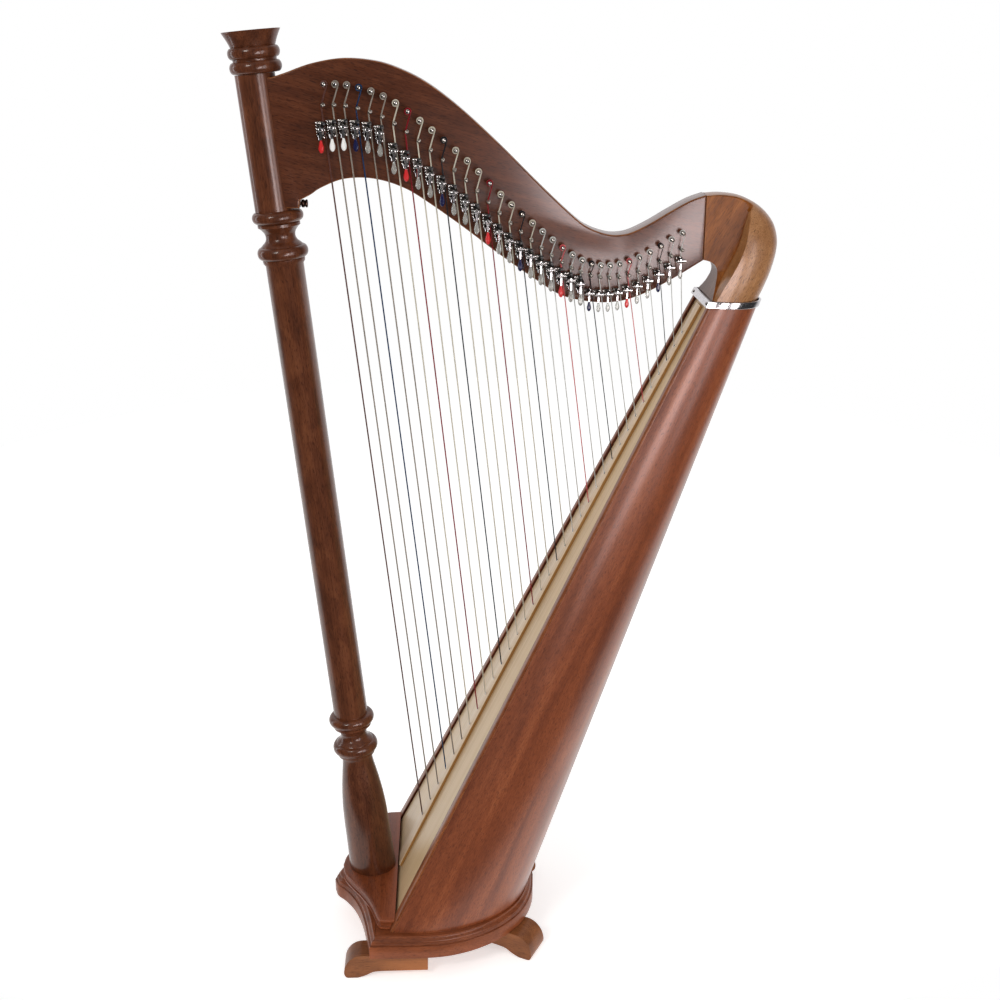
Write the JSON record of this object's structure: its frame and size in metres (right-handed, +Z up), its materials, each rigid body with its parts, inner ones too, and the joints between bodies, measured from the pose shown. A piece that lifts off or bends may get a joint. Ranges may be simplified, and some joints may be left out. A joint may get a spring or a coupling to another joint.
{
  "type": "lever harp",
  "caption": "Floor-standing lever harp with turned pillar, curved neck, round-backed soundbox, splayed feet and a sharpening lever at every string.",
  "frame": {"origin": "on the floor, at the middle of the bounding box seen from above", "axes": "+Z up; the strings, pillar and neck lie in the plane y = 0; the pillar is at -X and the soundbox and player at +X; the levers and strings are on the -Y side of the neck, the player's left"},
  "size_m": [0.8042, 0.3782, 1.474],
  "materials": {
    "dark_wood": "satin lacquer over dark red-brown hardwood",
    "red_wood": "satin lacquer over red-brown hardwood",
    "gold_wood": "satin lacquer over golden-brown hardwood",
    "spruce": "thin satin lacquer over pale spruce",
    "inner_wood": "bare sawn softwood",
    "chrome": "polished",
    "black_metal": "gloss black",
    "string": "gut and wound strings with polished steel pins and brackets",
    "lever_red": "polished",
    "lever_blue": "polished",
    "lever_white": "polished",
    "lever_clear": "polished, translucent"
  },
  "bodies": {
    "frame": {"base_plate": "red_wood", "pillar_plinth": "red_wood", "foot_front_left": "gold_wood", "foot_front_right": "gold_wood", "foot_rear_left": "gold_wood", "foot_rear_right": "gold_wood", "pillar": "dark_wood", "capital": "dark_wood", "pillar_bolt": "black_metal", "tail_block": "inner_wood", "top_block": "inner_wood", "soundbox_shell": "red_wood", "back_brace_lower": "inner_wood", "back_brace_middle": "inner_wood", "back_brace_upper": "inner_wood", "soundboard": "spruce", "string_rib": "spruce", "edge_strip_left": "gold_wood", "edge_strip_right": "gold_wood", "collar_band": "chrome", "collar_screw_left": "chrome", "collar_screw_right": "chrome", "shoulder_block": "gold_wood", "neck": "dark_wood", "string_set": "string"},
    "lever_01_body": {"lever_01": "lever_red"},
    "lever_02_body": {"lever_02": "lever_white"},
    "lever_03_body": {"lever_03": "lever_white"},
    "lever_04_body": {"lever_04": "lever_blue"},
    "lever_05_body": {"lever_05": "lever_clear"},
    "lever_06_body": {"lever_06": "lever_clear"},
    "lever_07_body": {"lever_07": "lever_clear"},
    "lever_08_body": {"lever_08": "lever_red"},
    "lever_09_body": {"lever_09": "lever_clear"},
    "lever_10_body": {"lever_10": "lever_clear"},
    "lever_11_body": {"lever_11": "lever_blue"},
    "lever_12_body": {"lever_12": "lever_clear"},
    "lever_13_body": {"lever_13": "lever_clear"},
    "lever_14_body": {"lever_14": "lever_clear"},
    "lever_15_body": {"lever_15": "lever_red"},
    "lever_16_body": {"lever_16": "lever_clear"},
    "lever_17_body": {"lever_17": "lever_clear"},
    "lever_18_body": {"lever_18": "lever_blue"},
    "lever_19_body": {"lever_19": "lever_clear"},
    "lever_20_body": {"lever_20": "lever_clear"},
    "lever_21_body": {"lever_21": "lever_clear"},
    "lever_22_body": {"lever_22": "lever_red"},
    "lever_23_body": {"lever_23": "lever_clear"},
    "lever_24_body": {"lever_24": "lever_clear"},
    "lever_25_body": {"lever_25": "lever_blue"},
    "lever_26_body": {"lever_26": "lever_clear"},
    "lever_27_body": {"lever_27": "lever_clear"},
    "lever_28_body": {"lever_28": "lever_clear"},
    "lever_29_body": {"lever_29": "lever_red"},
    "lever_30_body": {"lever_30": "lever_clear"},
    "lever_31_body": {"lever_31": "lever_clear"},
    "lever_32_body": {"lever_32": "lever_blue"},
    "lever_33_body": {"lever_33": "lever_clear"},
    "lever_34_body": {"lever_34": "lever_clear"}
  },
  "joints": [
    {"name": "lever_01_flip", "type": "hinge", "parent": "frame", "child": "lever_01_body", "pos_m": [-0.2665, -0.0392, 1.338], "axis": [-1, 0, 0], "range_deg": [0, 100]},
    {"name": "lever_02_flip", "type": "hinge", "parent": "frame", "child": "lever_02_body", "pos_m": [-0.25065, -0.0392, 1.34038], "axis": [-1, 0, 0], "range_deg": [0, 100]},
    {"name": "lever_03_flip", "type": "hinge", "parent": "frame", "child": "lever_03_body", "pos_m": [-0.2345, -0.0392, 1.3414], "axis": [-1, 0, 0], "range_deg": [0, 100]},
    {"name": "lever_04_flip", "type": "hinge", "parent": "frame", "child": "lever_04_body", "pos_m": [-0.21768, -0.0392, 1.34007], "axis": [-1, 0, 0], "range_deg": [0, 100]},
    {"name": "lever_05_flip", "type": "hinge", "parent": "frame", "child": "lever_05_body", "pos_m": [-0.20059, -0.0392, 1.33753], "axis": [-1, 0, 0], "range_deg": [0, 100]},
    {"name": "lever_06_flip", "type": "hinge", "parent": "frame", "child": "lever_06_body", "pos_m": [-0.1835, -0.0392, 1.333], "axis": [-1, 0, 0], "range_deg": [0, 100]},
    {"name": "lever_07_flip", "type": "hinge", "parent": "frame", "child": "lever_07_body", "pos_m": [-0.16447, -0.0392, 1.30868], "axis": [-1, 0, 0], "range_deg": [0, 100]},
    {"name": "lever_08_flip", "type": "hinge", "parent": "frame", "child": "lever_08_body", "pos_m": [-0.14744, -0.0392, 1.2986], "axis": [-1, 0, 0], "range_deg": [0, 100]},
    {"name": "lever_09_flip", "type": "hinge", "parent": "frame", "child": "lever_09_body", "pos_m": [-0.1305, -0.0392, 1.28747], "axis": [-1, 0, 0], "range_deg": [0, 100]},
    {"name": "lever_10_flip", "type": "hinge", "parent": "frame", "child": "lever_10_body", "pos_m": [-0.11362, -0.0392, 1.27576], "axis": [-1, 0, 0], "range_deg": [0, 100]},
    {"name": "lever_11_flip", "type": "hinge", "parent": "frame", "child": "lever_11_body", "pos_m": [-0.09676, -0.0392, 1.26341], "axis": [-1, 0, 0], "range_deg": [0, 100]},
    {"name": "lever_12_flip", "type": "hinge", "parent": "frame", "child": "lever_12_body", "pos_m": [-0.08002, -0.0392, 1.25057], "axis": [-1, 0, 0], "range_deg": [0, 100]},
    {"name": "lever_13_flip", "type": "hinge", "parent": "frame", "child": "lever_13_body", "pos_m": [-0.0635, -0.0392, 1.23741], "axis": [-1, 0, 0], "range_deg": [0, 100]},
    {"name": "lever_14_flip", "type": "hinge", "parent": "frame", "child": "lever_14_body", "pos_m": [-0.04722, -0.0392, 1.22349], "axis": [-1, 0, 0], "range_deg": [0, 100]},
    {"name": "lever_15_flip", "type": "hinge", "parent": "frame", "child": "lever_15_body", "pos_m": [-0.03113, -0.0392, 1.20888], "axis": [-1, 0, 0], "range_deg": [0, 100]},
    {"name": "lever_16_flip", "type": "hinge", "parent": "frame", "child": "lever_16_body", "pos_m": [-0.01522, -0.0392, 1.19452], "axis": [-1, 0, 0], "range_deg": [0, 100]},
    {"name": "lever_17_flip", "type": "hinge", "parent": "frame", "child": "lever_17_body", "pos_m": [0.0005, -0.0392, 1.18135], "axis": [-1, 0, 0], "range_deg": [0, 100]},
    {"name": "lever_18_flip", "type": "hinge", "parent": "frame", "child": "lever_18_body", "pos_m": [0.01601, -0.0392, 1.16958], "axis": [-1, 0, 0], "range_deg": [0, 100]},
    {"name": "lever_19_flip", "type": "hinge", "parent": "frame", "child": "lever_19_body", "pos_m": [0.03131, -0.0392, 1.15872], "axis": [-1, 0, 0], "range_deg": [0, 100]},
    {"name": "lever_20_flip", "type": "hinge", "parent": "frame", "child": "lever_20_body", "pos_m": [0.04646, -0.0392, 1.14866], "axis": [-1, 0, 0], "range_deg": [0, 100]},
    {"name": "lever_21_flip", "type": "hinge", "parent": "frame", "child": "lever_21_body", "pos_m": [0.0615, -0.0392, 1.13929], "axis": [-1, 0, 0], "range_deg": [0, 100]},
    {"name": "lever_22_flip", "type": "hinge", "parent": "frame", "child": "lever_22_body", "pos_m": [0.07639, -0.0392, 1.1307], "axis": [-1, 0, 0], "range_deg": [0, 100]},
    {"name": "lever_23_flip", "type": "hinge", "parent": "frame", "child": "lever_23_body", "pos_m": [0.09106, -0.0392, 1.1234], "axis": [-1, 0, 0], "range_deg": [0, 100]},
    {"name": "lever_24_flip", "type": "hinge", "parent": "frame", "child": "lever_24_body", "pos_m": [0.1055, -0.0392, 1.118], "axis": [-1, 0, 0], "range_deg": [0, 100]},
    {"name": "lever_25_flip", "type": "hinge", "parent": "frame", "child": "lever_25_body", "pos_m": [0.11831, -0.0392, 1.10392], "axis": [-1, 0, 0], "range_deg": [0, 100]},
    {"name": "lever_26_flip", "type": "hinge", "parent": "frame", "child": "lever_26_body", "pos_m": [0.1322, -0.0392, 1.10246], "axis": [-1, 0, 0], "range_deg": [0, 100]},
    {"name": "lever_27_flip", "type": "hinge", "parent": "frame", "child": "lever_27_body", "pos_m": [0.1462, -0.0392, 1.10277], "axis": [-1, 0, 0], "range_deg": [0, 100]},
    {"name": "lever_28_flip", "type": "hinge", "parent": "frame", "child": "lever_28_body", "pos_m": [0.16028, -0.0392, 1.10474], "axis": [-1, 0, 0], "range_deg": [0, 100]},
    {"name": "lever_29_flip", "type": "hinge", "parent": "frame", "child": "lever_29_body", "pos_m": [0.17447, -0.0392, 1.10849], "axis": [-1, 0, 0], "range_deg": [0, 100]},
    {"name": "lever_30_flip", "type": "hinge", "parent": "frame", "child": "lever_30_body", "pos_m": [0.1892, -0.0392, 1.11427], "axis": [-1, 0, 0], "range_deg": [0, 100]},
    {"name": "lever_31_flip", "type": "hinge", "parent": "frame", "child": "lever_31_body", "pos_m": [0.20461, -0.0392, 1.12215], "axis": [-1, 0, 0], "range_deg": [0, 100]},
    {"name": "lever_32_flip", "type": "hinge", "parent": "frame", "child": "lever_32_body", "pos_m": [0.2204, -0.0392, 1.13146], "axis": [-1, 0, 0], "range_deg": [0, 100]},
    {"name": "lever_33_flip", "type": "hinge", "parent": "frame", "child": "lever_33_body", "pos_m": [0.23634, -0.0392, 1.14134], "axis": [-1, 0, 0], "range_deg": [0, 100]},
    {"name": "lever_34_flip", "type": "hinge", "parent": "frame", "child": "lever_34_body", "pos_m": [0.2522, -0.0392, 1.15094], "axis": [-1, 0, 0], "range_deg": [0, 100]}
  ]
}
